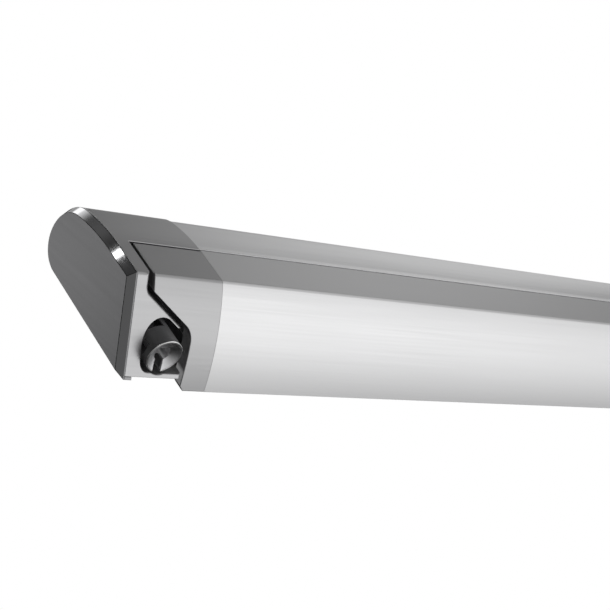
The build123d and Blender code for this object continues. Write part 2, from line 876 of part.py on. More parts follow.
upper_length = upper_end_x - upper_start_x
upper_arm_left = box_tube(upper_start_x, upper_length, shoulder_a, upper_width, arm_height, tube_wall)
save(upper_arm_left, "upper_arm_left")

with BuildPart() as shoulder_knuckle_left:
    with BuildSketch(plan(knuckle_low)):
        with Locations((-shoulder_x, shoulder_a)):
            Circle(knuckle_radius)
        between(-shoulder_x, upper_start_x, upper_low_a, upper_high_a)
        with Locations((-shoulder_x, shoulder_a)):
            Circle(pin_radius + running_clearance, mode=Mode.SUBTRACT)
    extrude(amount=knuckle_height)
    with BuildSketch(across(upper_start_x)):
        with Locations((shoulder_a, arm_mid_b)):
            RectangleRounded(upper_width - tongue_less, arm_height - tongue_less, tube_wall)
    extrude(amount=plug_length)
save(shoulder_knuckle_left, "shoulder_knuckle_left")

# The elbow fork carries two ears, above and below the forearm's eye
fork_low = arm_mid_b - arm_height / 2
fork_high = arm_mid_b + arm_height / 2
with BuildPart() as elbow_fork_left:
    with BuildSketch(plan(fork_low)):
        with BuildLine():
            Polyline(
                (upper_end_x, upper_low_a),
                (-elbow_x - elbow_radius * 5 / 4, elbow_a - elbow_radius / 2),
                (-elbow_x, elbow_a + elbow_radius / 2),
                (-elbow_x - elbow_radius / 2, elbow_a + elbow_radius),
                (upper_end_x + elbow_radius, upper_high_a),
                (upper_end_x, upper_high_a),
                close=True,
            )
        make_face()
        with Locations((-elbow_x, elbow_a)):
            Circle(elbow_radius)
            Circle(pin_radius, mode=Mode.SUBTRACT)
    extrude(amount=arm_height)
    with BuildSketch(plan(elbow_low_b - ear_gap)):
        with Locations((-elbow_x, elbow_a)):
            Circle(elbow_radius + chamber_clearance)
        between(-elbow_x - elbow_reach - overrun, -elbow_x + elbow_radius * 2, 0, elbow_a)
        between(-elbow_x - elbow_radius, -elbow_x + elbow_radius * 2, 0, elbow_a + elbow_radius * 2)
    extrude(amount=elbow_high_b - elbow_low_b + 2 * ear_gap, mode=Mode.SUBTRACT)
    with BuildSketch(across(upper_end_x - plug_length)):
        with Locations((shoulder_a, arm_mid_b)):
            RectangleRounded(upper_width - tongue_less, arm_height - tongue_less, tube_wall)
    extrude(amount=plug_length)
save(elbow_fork_left, "elbow_fork_left")

with BuildPart() as elbow_pin_left:
    with BuildSketch(plan(fork_low)):
        with Locations((-elbow_x, elbow_a)):
            Circle(pin_radius)
    extrude(amount=arm_height)
    with BuildSketch(plan(fork_high)):
        with Locations((-elbow_x, elbow_a)):
            Circle(pin_head_radius)
    extrude(amount=pin_head)
save(elbow_pin_left, "elbow_pin_left")

# Tension spring inside the upper arm, hooked to the shoulder knuckle's tongue
spring_radius = 9
spring_wire = 2.5
spring_length = 420
with BuildPart() as arm_spring_left:
    with BuildSketch(across(upper_start_x + plug_length)):
        with Locations((shoulder_a, arm_mid_b)):
            Circle(spring_radius)
            Circle(spring_radius - spring_wire, mode=Mode.SUBTRACT)
    extrude(amount=spring_length)
save(arm_spring_left, "arm_spring_left")

# Forearms: a slimmer box tube from the elbow eye to the eye at the lead rail
forearm_start_x = -shoulder_x + knuckle_reach
forearm_end_x = -elbow_x - elbow_reach
forearm_low_a = rail_pivot_a - forearm_width / 2
forearm_high_a = rail_pivot_a + forearm_width / 2
forearm_low_b = arm_mid_b - forearm_height / 2
rail_eye_radius = 12
forearm_left = box_tube(
    forearm_start_x, forearm_end_x - forearm_start_x, rail_pivot_a, forearm_width, forearm_height, tube_wall
)
save(forearm_left, "forearm_left")

with BuildPart() as elbow_eye_left:
    with BuildSketch(plan(elbow_low_b)):
        with BuildLine():
            Polyline(
                (forearm_end_x, forearm_low_a),
                (forearm_end_x + elbow_radius, forearm_low_a),
                (-elbow_x + elbow_radius, elbow_a),
                (-elbow_x - elbow_radius, elbow_a),
                (forearm_end_x, forearm_high_a),
                close=True,
            )
        make_face()
        with Locations((-elbow_x, elbow_a)):
            Circle(elbow_radius)
            Circle(pin_radius + running_clearance, mode=Mode.SUBTRACT)
    extrude(amount=elbow_high_b - elbow_low_b)
    with BuildSketch(across(forearm_end_x - plug_length)):
        with Locations((rail_pivot_a, arm_mid_b)):
            RectangleRounded(forearm_width - tongue_less, forearm_height - tongue_less, tube_wall)
    extrude(amount=plug_length)
save(elbow_eye_left, "elbow_eye_left")

# The eye at the rail: the left one fits its pin, the right one leaves the loop open with more room
for side in ("left", "right"):
    eye_clearance = running_clearance if side == "left" else open_pivot_clearance
    with BuildPart() as rail_eye:
        with BuildSketch(plan(forearm_low_b)):
            with Locations((-shoulder_x, rail_pivot_a)):
                Circle(rail_eye_radius)
            between(-shoulder_x, forearm_start_x, forearm_low_a, forearm_high_a)
            with Locations((-shoulder_x, rail_pivot_a)):
                Circle(pin_radius + eye_clearance, mode=Mode.SUBTRACT)
        extrude(amount=forearm_height)
        with BuildSketch(across(forearm_start_x)):
            with Locations((rail_pivot_a, arm_mid_b)):
                RectangleRounded(forearm_width - tongue_less, forearm_height - tongue_less, tube_wall)
        extrude(amount=plug_length)
        if side == "right":
            mirror(about=Plane.YZ, mode=Mode.REPLACE)
    save(rail_eye, f"rail_eye_{side}")

# Right-hand arm pieces are the left-hand ones mirrored
left_arm_pieces = {
    "upper_arm": upper_arm_left,
    "shoulder_knuckle": shoulder_knuckle_left,
    "elbow_fork": elbow_fork_left,
    "elbow_pin": elbow_pin_left,
    "arm_spring": arm_spring_left,
    "forearm": forearm_left,
    "elbow_eye": elbow_eye_left,
}
for name, piece in left_arm_pieces.items():
    with BuildPart() as mirrored:
        mirror(piece.part, about=Plane.YZ)
    save(mirrored, f"{name}_right")

# Rail brackets: blocks that follow the rail's inside, with two ears round the rail pin
rail_bracket_half = 26
rail_ear = 6
rail_ear_radius = 11
casting_fit = 0.1
pocket_front_a = rail_pivot_a - rail_eye_radius - ear_gap * 2
bracket_low_b = forearm_low_b - ear_gap - rail_ear
bracket_high_b = arm_mid_b + forearm_height / 2 + ear_gap + rail_ear
with BuildPart() as rail_bracket_left:
    with BuildSketch(across(-shoulder_x - rail_bracket_half)):
        add(front_strip(rail_wall + casting_fit, rail_pivot_a, bracket_low_b, bracket_high_b))
        between(rail_pivot_a - rail_ear, section_height, bracket_low_b, bracket_high_b, mode=Mode.SUBTRACT)
        between(
            pocket_front_a,
            section_height,
            bracket_low_b + rail_ear,
            bracket_high_b - rail_ear,
            mode=Mode.SUBTRACT,
        )
    extrude(amount=2 * rail_bracket_half)
    for ear_b in (bracket_low_b, bracket_high_b - rail_ear):
        with BuildSketch(plan(ear_b)):
            with Locations((-shoulder_x, rail_pivot_a)):
                Circle(rail_ear_radius)
            between(
                -shoulder_x - rail_ear_radius,
                -shoulder_x + rail_ear_radius,
                front_point(rail_wall * 2, bracket_high_b)[0],
                rail_pivot_a,
            )
            with Locations((-shoulder_x, rail_pivot_a)):
                Circle(pin_radius, mode=Mode.SUBTRACT)
        extrude(amount=rail_ear)
save(rail_bracket_left, "rail_bracket_left")
with BuildPart() as rail_bracket_right:
    mirror(rail_bracket_left.part, about=Plane.YZ)
save(rail_bracket_right, "rail_bracket_right")

with BuildPart() as rail_pins:
    with BuildSketch(plan(bracket_low_b)):
        with Locations((-shoulder_x, rail_pivot_a)):
            Circle(pin_radius)
    extrude(amount=bracket_high_b - bracket_low_b)
    with BuildSketch(plan(bracket_high_b)):
        with Locations((-shoulder_x, rail_pivot_a)):
            Circle(pin_head_radius)
    extrude(amount=pin_head)
    mirror(about=Plane.YZ)
save(rail_pins, "rail_pins")

# Support legs lie side by side in the lead rail's channel: the left one in front, the right one behind
leg_width = 16
leg_height = 12
leg_wall = 1.3
leg_from_end = 150
leg_past_middle = 100
leg_pivot_x = half_length - leg_from_end
leg_length = leg_pivot_x + leg_past_middle
leg_b = -9.5
leg_lane_a = {"left": 6, "right": 27}
leg_neck = 11
leg_tongue = 24
leg_eye_half = 4
leg_eye_radius = 5.4
leg_neck_half = 4.3
leg_pin_radius = 2.5
cheek_gap = 0.3
cheek_thickness = 2.4
cheek_reach = 5
leg_block_start = 9
leg_block_end = 18
slider_fit = 0.2
slider_start = 60
foot_length = 22
lever_width = 7
lever_length = 42
lever_thickness = 3
lever_pivot_back = 12
lever_pivot_drop = 9
lever_pin_radius = 1.2
ear_rise = 2.2
ear_root = 0.2
for side in ("left", "right"):
    lane = leg_lane_a[side]
    pivot = place(-leg_pivot_x, lane, leg_b)
    block_b = leg_channel_top - channel_roof
    lever_pivot = place(-leg_pivot_x + leg_length - lever_pivot_back, lane, leg_b - lever_pivot_drop)
    with BuildPart() as leg_bracket:
        with BuildSketch(across(-leg_pivot_x - leg_block_end)):
            between(lane - leg_width / 2, lane + leg_width / 2, leg_b - leg_height / 2, block_b)
        extrude(amount=leg_block_end - leg_block_start)
        for cheek_side in (-1, 1):
            cheek_front = cheek_side * (leg_eye_half + cheek_gap + cheek_thickness / 2) + cheek_thickness / 2
            with BuildSketch(upright(pivot, cheek_front)):
                between(-leg_block_end + cheek_reach, 0, -cheek_reach, cheek_reach)
                Circle(cheek_reach)
            extrude(amount=-cheek_thickness)
        with BuildSketch(upright(pivot, leg_eye_half + cheek_gap + cheek_thickness)):
            Circle(leg_pin_radius)
        extrude(amount=-2 * (leg_eye_half + cheek_gap + cheek_thickness))
        if side == "right":
            mirror(about=Plane.YZ, mode=Mode.REPLACE)
    save(leg_bracket, f"leg_bracket_{side}")

    with BuildPart() as leg_tube:
        with BuildSketch(upright(pivot, leg_eye_half)):
            Circle(leg_eye_radius)
            between(0, leg_neck + leg_tongue / 2, -leg_neck_half, leg_neck_half)
            Circle(leg_pin_radius + running_clearance, mode=Mode.SUBTRACT)
        extrude(amount=-2 * leg_eye_half)
        with BuildSketch(across(-leg_pivot_x + leg_neck)):
            with Locations((lane, leg_b)):
                RectangleRounded(leg_width, leg_height, leg_wall)
        extrude(amount=leg_tongue)
        with BuildSketch(across(-leg_pivot_x + leg_neck + leg_tongue)):
            with Locations((lane, leg_b)):
                RectangleRounded(leg_width, leg_height, leg_wall)
                Rectangle(leg_width - 2 * leg_wall, leg_height - 2 * leg_wall, mode=Mode.SUBTRACT)
        extrude(amount=leg_length - leg_neck - leg_tongue)
        for ear_side in (-1, 1):
            ear_front = ear_side * (lever_width / 2 + cheek_gap + cheek_thickness / 2) + cheek_thickness / 2
            with BuildSketch(upright(lever_pivot, ear_front)):
                Circle(ear_rise)
                between(-ear_rise, ear_rise, 0, lever_pivot_drop - leg_height / 2 + ear_root)
            extrude(amount=-cheek_thickness)
        with BuildSketch(upright(lever_pivot, lever_width / 2 + cheek_gap + cheek_thickness)):
            Circle(lever_pin_radius)
        extrude(amount=-2 * (lever_width / 2 + cheek_gap + cheek_thickness))
        if side == "right":
            mirror(about=Plane.YZ, mode=Mode.REPLACE)
    save(leg_tube, f"leg_tube_{side}")

    slider_width = leg_width - 2 * (leg_wall + slider_fit)
    slider_height = leg_height - 2 * (leg_wall + slider_fit)
    with BuildPart() as leg_slider:
        with BuildSketch(across(-leg_pivot_x + slider_start)):
            with Locations((lane, leg_b)):
                Rectangle(slider_width, slider_height)
                Rectangle(slider_width - 2 * leg_wall, slider_height - 2 * leg_wall, mode=Mode.SUBTRACT)
        extrude(amount=leg_length - slider_start + slider_fit)
        if side == "right":
            mirror(about=Plane.YZ, mode=Mode.REPLACE)
    save(leg_slider, f"leg_slider_{side}")

    with BuildPart() as leg_foot:
        with BuildSketch(across(-leg_pivot_x + leg_length + slider_fit)):
            with Locations((lane, leg_b)):
                RectangleRounded(leg_width, leg_height, leg_wall)
        extrude(amount=foot_length)
        chamfer(faces().sort_by(Axis.X)[-1].edges(), leg_wall)
        if side == "right":
            mirror(about=Plane.YZ, mode=Mode.REPLACE)
    save(leg_foot, f"leg_foot_{side}")

    with BuildPart() as leg_lever:
        with BuildSketch(upright(lever_pivot, lever_width / 2)):
            Circle(lever_thickness / 2 + cheek_gap * 2)
            between(-lever_length, 0, -lever_thickness / 2, lever_thickness / 2)
            Circle(lever_pin_radius + running_clearance, mode=Mode.SUBTRACT)
        extrude(amount=-lever_width)
        if side == "right":
            mirror(about=Plane.YZ, mode=Mode.REPLACE)
    save(leg_lever, f"leg_lever_{side}")

# Cloth between the roll and the lead rail, and its beaded hem in the rail's groove
cloth_run_lead = 2
cloth_run_start = nose_a - cloth_run_lead
cloth_run_start_b = nose_radius + roll_radius + cloth_thickness
hem_bead_radius = 2.6
hem_tab = 0.9
with BuildPart() as cloth_hem:
    with BuildSketch(across(-cloth_half_width)):
        with Locations((groove_a, groove_b)):
            Circle(hem_bead_radius)
        between(groove_a, rail_back_a - hem_tab, groove_b - hem_tab / 2, groove_b + hem_tab / 2)
    extrude(amount=2 * cloth_half_width)
save(cloth_hem, "cloth_hem")
with BuildPart() as cloth_span:
    with BuildSketch(across(-cloth_half_width)):
        with BuildLine():
            Polyline(
                (rail_back_a - hem_tab + seat_gap, groove_b - cloth_thickness / 2),
                (cloth_run_start, cloth_run_start_b),
                (cloth_run_start, cloth_run_start_b + cloth_thickness),
                (rail_back_a - hem_tab + seat_gap, groove_b + cloth_thickness / 2),
                close=True,
            )
        make_face()
    extrude(amount=2 * cloth_half_width)
save(cloth_span, "cloth_span")

# Wall brackets: a plate against the wall and a cradle under the nose, all lower than the cassette's top
bracket_from_end = 400
outer_bracket_x = half_length - bracket_from_end
wall_bracket_x = {"left": -outer_bracket_x, "middle": 0, "right": outer_bracket_x}
bracket_width = 90
bracket_top = 10
bracket_foot = 112
saddle_fit = 0.1
saddle_reach = 26
saddle_front_a = nose_a - saddle_reach
web_depth = 14
web_rise = 26
gusset_foot = 80
gusset_front = 40
gusset_thickness = 6
bracket_hole_radius = 4.25
bracket_hole_high = 58
bracket_hole_low = 98
for name, centre_x in wall_bracket_x.items():
    with BuildPart() as wall_bracket:
        with BuildSketch(across(centre_x - bracket_width / 2)):
            add(closed_face(-bracket_saddle))
            between(
                front_foot_a - overrun,
                saddle_front_a,
                -overrun,
                section_height + overrun,
                mode=Mode.SUBTRACT,
            )
        extrude(amount=bracket_width)
        with BuildSketch(sideways(centre_x - bracket_width / 2)):
            between(-section_height, 0, bracket_top, section_height)
        extrude(amount=bracket_width, mode=Mode.SUBTRACT)
        with BuildSketch(sideways(centre_x - bracket_width / 2)):
            between(-bracket_plate, 0, -bracket_foot, bracket_top)
            between(-bracket_plate - web_depth, -bracket_plate, -web_rise, bracket_top)
        extrude(amount=bracket_width)
        for edge_x in (centre_x - bracket_width / 2, centre_x + bracket_width / 2 - gusset_thickness):
            with BuildSketch(sideways(edge_x)):
                with BuildLine():
                    Polyline(
                        (-bracket_plate / 2, -gusset_foot),
                        (-gusset_front, -nose_radius),
                        (-bracket_plate / 2, 0),
                        close=True,
                    )
                make_face()
            extrude(amount=gusset_thickness)
        with BuildSketch(across(centre_x - bracket_width / 2)):
            add(closed_face(cap_proud - saddle_fit))
        extrude(amount=bracket_width, mode=Mode.SUBTRACT)
        with Locations(Plane(origin=(centre_x, 0, 0), x_dir=(1, 0, 0), z_dir=(0, 1, 0))):
            with Locations((0, bracket_hole_high), (0, bracket_hole_low)):
                Hole(bracket_hole_radius, depth=bracket_plate + overrun)
    save(wall_bracket, f"wall_bracket_{name}")
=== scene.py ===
"""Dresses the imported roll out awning: cassette, lead rail, crank, folding arms, cloth and legs."""
import json
import math

import bmesh
import bpy
import numpy as np
from mathutils import Matrix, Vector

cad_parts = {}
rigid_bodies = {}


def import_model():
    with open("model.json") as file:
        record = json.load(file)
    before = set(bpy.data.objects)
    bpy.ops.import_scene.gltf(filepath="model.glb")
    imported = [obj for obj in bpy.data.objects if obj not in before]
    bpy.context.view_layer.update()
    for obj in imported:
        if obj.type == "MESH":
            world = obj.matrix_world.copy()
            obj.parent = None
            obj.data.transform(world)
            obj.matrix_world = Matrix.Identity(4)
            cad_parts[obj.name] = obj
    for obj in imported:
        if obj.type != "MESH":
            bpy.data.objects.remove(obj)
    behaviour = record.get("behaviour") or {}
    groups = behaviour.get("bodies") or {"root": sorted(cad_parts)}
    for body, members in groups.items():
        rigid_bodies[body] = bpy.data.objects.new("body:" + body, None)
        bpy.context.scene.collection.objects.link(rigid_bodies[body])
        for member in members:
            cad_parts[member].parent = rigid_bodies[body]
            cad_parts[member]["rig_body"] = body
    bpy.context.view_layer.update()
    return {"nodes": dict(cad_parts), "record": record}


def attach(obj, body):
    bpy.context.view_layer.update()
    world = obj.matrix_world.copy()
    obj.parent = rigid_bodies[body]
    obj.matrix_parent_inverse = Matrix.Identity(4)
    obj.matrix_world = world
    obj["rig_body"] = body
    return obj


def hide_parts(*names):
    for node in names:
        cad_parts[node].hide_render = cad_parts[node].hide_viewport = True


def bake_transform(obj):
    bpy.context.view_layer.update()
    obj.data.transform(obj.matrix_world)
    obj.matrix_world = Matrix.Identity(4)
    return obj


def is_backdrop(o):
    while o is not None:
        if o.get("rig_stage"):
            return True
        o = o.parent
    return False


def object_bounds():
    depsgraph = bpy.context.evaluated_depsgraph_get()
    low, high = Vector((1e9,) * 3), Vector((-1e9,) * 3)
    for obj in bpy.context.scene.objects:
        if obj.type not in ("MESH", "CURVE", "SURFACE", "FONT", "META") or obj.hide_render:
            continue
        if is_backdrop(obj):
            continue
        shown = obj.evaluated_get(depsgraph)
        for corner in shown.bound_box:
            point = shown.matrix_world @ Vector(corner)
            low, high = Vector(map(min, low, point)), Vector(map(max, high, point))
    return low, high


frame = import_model()

# Wall brackets
# Three pressed steel saddles, black powder coated: a plate with two bolt holes stands
# against the vehicle's wall, and two gussets carry the cradle that holds the nose.


def node_maker(material):
    """Two short hands for a material's nodes: one adds a node with values, one joins two sockets."""
    tree = material.node_tree

    def add(kind, **values):
        node = tree.nodes.new(kind)
        for key, value in values.items():
            if hasattr(node, key):
                setattr(node, key, value)
            else:
                node.inputs[key.replace("_", " ")].default_value = value
        return node

    def join(out, into):
        tree.links.new(out, into)

    return add, join


pitch = math.radians(12.5)


def finish(name, colour, roughness, along=(400, 400, 400), spread=0.06, depth=0.05, metallic=0.0, cloud=0.06):
    """Surface whose fine grain is a noise, drawn out along the grain: it moves the roughness and the
    bump, and with a broad soft noise it lets the tone drift between a darker and a lighter colour."""
    material = bpy.data.materials.new(name)
    material.use_nodes = True
    add, join = node_maker(material)
    shader = material.node_tree.nodes["Principled BSDF"]
    shader.inputs["Metallic"].default_value = metallic
    place = add("ShaderNodeTexCoord")
    turned = add("ShaderNodeMapping")
    turned.inputs["Rotation"].default_value = (-pitch, 0, 0)
    turned.inputs["Scale"].default_value = along
    grain = add("ShaderNodeTexNoise", Scale=1.0, Detail=3.0, Roughness=0.6)
    join(place.outputs["Object"], turned.inputs["Vector"])
    join(turned.outputs["Vector"], grain.inputs["Vector"])
    rough = add("ShaderNodeMapRange")
    rough.inputs["To Min"].default_value = roughness - spread
    rough.inputs["To Max"].default_value = roughness + spread
    join(grain.outputs["Fac"], rough.inputs["Value"])
    join(rough.outputs["Result"], shader.inputs["Roughness"])
    drift = add("ShaderNodeTexNoise", Scale=5.0, Detail=2.0)
    join(place.outputs["Object"], drift.inputs["Vector"])
    mixed = add("ShaderNodeMixRGB", blend_type="MIX", Fac=0.5)
    join(drift.outputs["Fac"], mixed.inputs["Color1"])
    join(grain.outputs["Fac"], mixed.inputs["Color2"])
    tone = add("ShaderNodeMixRGB", blend_type="MIX")
    tone.inputs["Color1"].default_value = (*[c * (1 - cloud) for c in colour], 1)
    tone.inputs["Color2"].default_value = (*[c * (1 + cloud) for c in colour], 1)
    join(mixed.outputs["Color"], tone.inputs["Fac"])
    join(tone.outputs["Color"], shader.inputs["Base Color"])
    bump = add("ShaderNodeBump", Strength=depth, Distance=0.001)
    join(grain.outputs["Fac"], bump.inputs["Height"])
    join(bump.outputs["Normal"], shader.inputs["Normal"])
    return material


merge_distance, flat_turn, line_touch = 2e-6, math.radians(0.5), 1e-4


def finish_edges(piece, edge, angle=30):
    """Smooth shading between faces that meet at less than the angle, led by the larger face, and a rounded
    bevel at the other edges."""
    mesh = piece.data
    mesh.polygons.foreach_set("use_smooth", np.ones(len(mesh.polygons), bool))
    mesh.set_sharp_from_angle(angle=math.radians(angle))
    if edge:
        rounding = piece.modifiers.new("edge", "BEVEL")
        rounding.width = edge
        rounding.segments = 2
        rounding.limit_method = "ANGLE"
        rounding.angle_limit = math.radians(angle)
        rounding.use_clamp_overlap = False
        rounding.harden_normals = True
    evened = piece.modifiers.new("evened", "WEIGHTED_NORMAL")
    evened.keep_sharp = True


def on_body(piece, body, slot, *nodes):
    """The piece moves with a body and stands for CAD nodes, which are hidden. The slot is not used."""
    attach(piece, body)
    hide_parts(*nodes)


slot_of = {part["node"]: part["material_slot"] for part in frame["record"]["subparts"]}


def rounded(node, material, edge=0.0005, angle=35, wide=0.0, picked=None):
    """A CAD piece with its triangles merged, its flat faces joined and its edges rounded. Edges between
    corners that a test of their row place (x, a, b) picks out can have a wider rounding of their own."""
    source = frame["nodes"][node]
    mesh = source.data.copy()
    mesh.materials.clear()
    body = bmesh.new()
    body.from_mesh(mesh)
    bmesh.ops.remove_doubles(body, verts=body.verts, dist=merge_distance)
    bmesh.ops.dissolve_limit(body, angle_limit=flat_turn, verts=body.verts, edges=body.edges)
    if wide:
        chosen = {v for v in body.verts if picked(*row_place(v.co))}
        edges = [e for e in body.edges if chosen.issuperset(e.verts)]
        bmesh.ops.bevel(body, geom=edges, offset=wide, segments=5, profile=0.5, affect="EDGES")
    body.to_mesh(mesh)
    body.free()
    piece = bpy.data.objects.new(f"{node}_finished", mesh)
    bpy.context.scene.collection.objects.link(piece)
    piece.data.materials.append(material)
    finish_edges(piece, edge, angle)
    on_body(piece, source["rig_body"], slot_of[node], node)
    return piece


powder_coat = finish("powder_coat", (0.035, 0.035, 0.037), 0.5, along=(900, 900, 900), depth=0.2)
for side in ("left", "middle", "right"):
    rounded(f"wall_bracket_{side}", powder_coat)

# Cassette extrusion
# One long aluminium extrusion, satin anodised: floor, round nose and curved top, which
# ends in a lip at the seam. A soft black seal runs behind the lip.
slab_back = np.array([0, math.cos(pitch), math.sin(pitch)])
slab_up = np.array([0, -math.sin(pitch), math.cos(pitch)])
nose_a, nose_radius = 0.152, 0.039
datum = np.array([0, -0.047, 0]) - slab_back * nose_a - slab_up * nose_radius
section_height, top_flat_end = 0.086, 0.092
seam_a, floor_front, cassette_wall, cap_proud = 0.102, 0.014, 0.002, 0.0015
cap_inner_x = 1.177


def in_row(x, a, b):
    """Row points: the datum, plus x along the awning, a down the fall's back and b square to both."""
    x, a, b = np.broadcast_arrays(np.asarray(x, float), a, b)
    return datum + x[..., None] * np.array([1, 0, 0]) + a[..., None] * slab_back + b[..., None] * slab_up


def row_place(point):
    """The row's (x, a, b) of a point."""
    away = np.asarray(point) - datum
    return np.array([away[0], away @ slab_back, away @ slab_up])


def mesh_piece(name, points, faces, edge=0, angle=30):
    """Mesh from an array of points and a list of faces, smooth but for edges sharper than the angle.
    With an edge width, those edges are rounded by a bevel of that width."""
    mesh = bpy.data.meshes.new(name)
    mesh.from_pydata(np.reshape(points, (-1, 3)).tolist(), [], faces)
    body = bmesh.new()
    body.from_mesh(mesh)
    bmesh.ops.remove_doubles(body, verts=body.verts, dist=merge_distance / 2)
    bmesh.ops.recalc_face_normals(body, faces=body.faces)
    body.to_mesh(mesh)
    body.free()
    piece = bpy.data.objects.new(name, mesh)
    bpy.context.scene.collection.objects.link(piece)
    finish_edges(piece, edge, angle)
    return piece


def ring_faces(sections, around, ends=True):
    """Quads between closed rings of points, each ring joined to the next, and one face at either end."""
    index = np.arange(sections * around).reshape(sections, around)
    after = np.roll(index, -1, axis=1)
    quads = np.stack([index[:-1], index[1:], after[1:], after[:-1]], axis=-1).reshape(-1, 4).tolist()
    return quads + ([index[0].tolist(), index[-1][::-1].tolist()] if ends else [])


def extruded(name, profile, from_x, to_x, edge=0, steps=2):
    """A profile of (a, b) points carried straight along the awning between two places."""
    profile = np.asarray(profile, float)
    x = np.linspace(from_x, to_x, steps)[:, None]
    points = in_row(x, profile[None, :, 0], profile[None, :, 1])
    return mesh_piece(name, points, ring_faces(steps, len(profile)), edge)


def top_arc_radius(top, nose):
    """Radius of the arc that leaves the level top at its end and meets the nose's circle smoothly."""
    run, rise = nose_a - top_flat_end, top - nose
    return (run**2 + rise**2 - nose**2) / (2 * (rise - nose))


def back_curve(inset, first=0.0, count=56):
    """The section's top and nose, drawn in by an inset: two arcs that share the same direction where they
    meet. A point is its arc's centre plus the radius along the normal, which turns from up to down."""
    big = top_arc_radius(section_height, nose_radius)
    meet = math.asin((nose_a - top_flat_end) / (big - nose_radius))
    turn = np.concatenate([np.linspace(first, meet, 12), np.linspace(meet, math.pi, count)[1:]])
    on_big = turn <= meet + 1e-9
    centre_a = np.where(on_big, top_flat_end, nose_a)
    centre_b = np.where(on_big, section_height - big, nose_radius)
    radius = np.where(on_big, big, nose_radius) - inset
    return np.stack([centre_a + radius * np.sin(turn), centre_b + radius * np.cos(turn)], axis=1)


def line(*corners):
    """Straight runs through corners, as points."""
    return np.array(corners, float)


lip_depth, floor_lip = 0.004, 0.006
seam_turn = math.asin((seam_a - top_flat_end) / top_arc_radius(section_height, nose_radius))
outer = back_curve(cap_proud, seam_turn)
inner = back_curve(cap_proud + cassette_wall, seam_turn * 1.2)[::-1]
lip_foot = section_height - cap_proud - lip_depth
lip_set_back, lip_sink, lip_flat, lip_slope = 0.0006, 0.0002, 0.0010, 0.0035
lip_start, lip_top = seam_a + lip_set_back, section_height - lip_sink
profile = np.concatenate([
    line((lip_start, lip_top), (lip_start + lip_flat, lip_top)),
    outer[outer[:, 0] > seam_a + lip_slope],
    line(
        (floor_front, cap_proud),
        (floor_front, cap_proud + floor_lip),
        (floor_front + cassette_wall, cap_proud + floor_lip),
        (floor_front + cassette_wall, cap_proud + cassette_wall),
    ),
    inner,
    line(
        (seam_a + cassette_wall, inner[-1, 1]),
        (seam_a + cassette_wall, lip_foot),
        (lip_start, lip_foot),
    ),
])
cassette_shell = extruded("cassette_shell", profile, -cap_inner_x, cap_inner_x, edge=0.0004, steps=24)
drawn_grain = dict(along=(4, 700, 700), spread=0.08, depth=0.03)
anodised = finish("satin_anodised", (0.745, 0.745, 0.75), 0.36, **drawn_grain, metallic=1.0, cloud=0.04)
cassette_shell.data.materials.append(anodised)
on_body(cassette_shell, "cassette", "anodised_rail", "cassette_extrusion")
rubber = finish("seal_rubber", (0.012, 0.012, 0.012), 0.6, along=(200, 900, 900), depth=0.1)
rounded("front_seal", rubber, edge=0.0003)

# Roller and its gear
# An aluminium tube turns on plugs in the two end blocks. The crank's worm drives the
# wheel on the left plug inside the gear housing, a closed casting in the nose.
cast_alloy = finish("cast_alloy", (0.50, 0.50, 0.51), 0.55, depth=0.15, metallic=1.0)
steel = finish("zinc_steel", (0.60, 0.60, 0.61), 0.3, along=(60, 300, 300), metallic=1.0)
moulding = finish("black_moulding", (0.02, 0.02, 0.02), 0.45, along=(500, 500, 500), depth=0.08)
of_slot = {
    "cast_alloy": cast_alloy,
    "plain_steel": steel,
    "black_plastic": moulding,
    "anodised_rail": anodised,
}
for node in ("roller_tube", "roller_plug_left", "roller_plug_right"):
    rounded(node, of_slot[slot_of[node]], edge=0.0004)
for node in ("worm_wheel", "gear_housing", "roller_bearing"):
    rounded(node, of_slot[slot_of[node]], edge=0.0004)

# Cloth
# Coated acrylic, wound on the roller and led over it to the groove in the lead rail's
# top, where a round bead holds its hem. Grey, with a close plain weave.
cloth_half, cloth_thickness, hem_cloth = 1.150, 0.00065, 0.0005
roll_start, roll_radius = 0.0241, 0.0325
rail_back, groove_radius, groove_wall, rail_wall = seam_a - 0.0012, 0.003, 0.002, 0.002
groove_a = rail_back - groove_radius - groove_wall * 2
groove_b = section_height - rail_wall - groove_radius - groove_wall / 2


thread_scale, stripe_width = 300.0, 0.06


